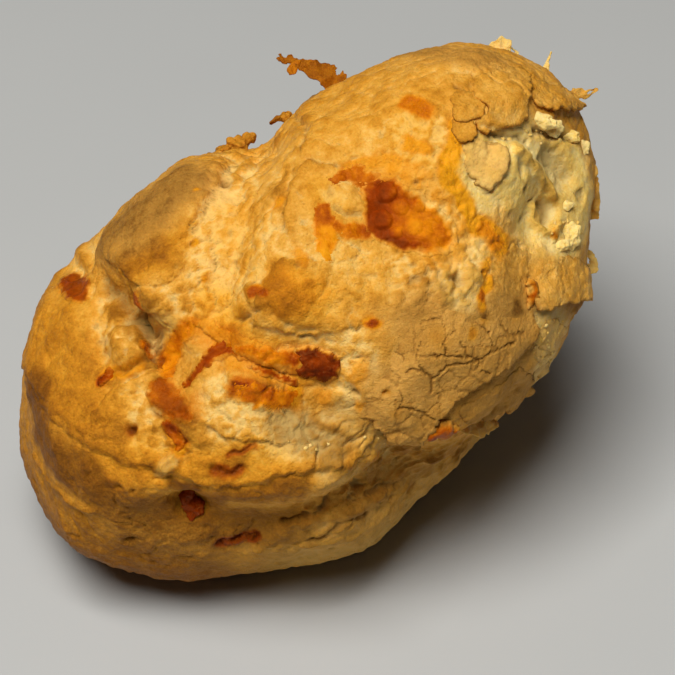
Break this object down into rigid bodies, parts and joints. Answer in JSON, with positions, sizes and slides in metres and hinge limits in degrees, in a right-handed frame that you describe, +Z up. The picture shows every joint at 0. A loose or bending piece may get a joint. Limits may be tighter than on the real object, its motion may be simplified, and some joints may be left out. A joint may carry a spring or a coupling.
{
  "type": "cheese bun",
  "caption": "Oblong knobbly baked cheese bun with folds in its crust, browned melted cheese, a torn end and a flat spot to rest on.",
  "frame": {"origin": "on the surface the bun rests on, under the middle of its box", "axes": "+X to the right as the shown side is looked at, -Y towards the shown side, +Z up from the foot"},
  "size_m": [0.072, 0.0656, 0.0612],
  "materials": {
    "baked_crust": "dry baked dough, pale gold with browned high spots and fine cracks",
    "browned_cheese": "melted cheddar, orange to dark red-brown, oily and blistered"
  },
  "bodies": {
    "root": {"bun": "baked_crust", "cheese_pool": "browned_cheese", "cheese_strand": "browned_cheese", "cheese_curl": "browned_cheese"}
  },
  "joints": []
}
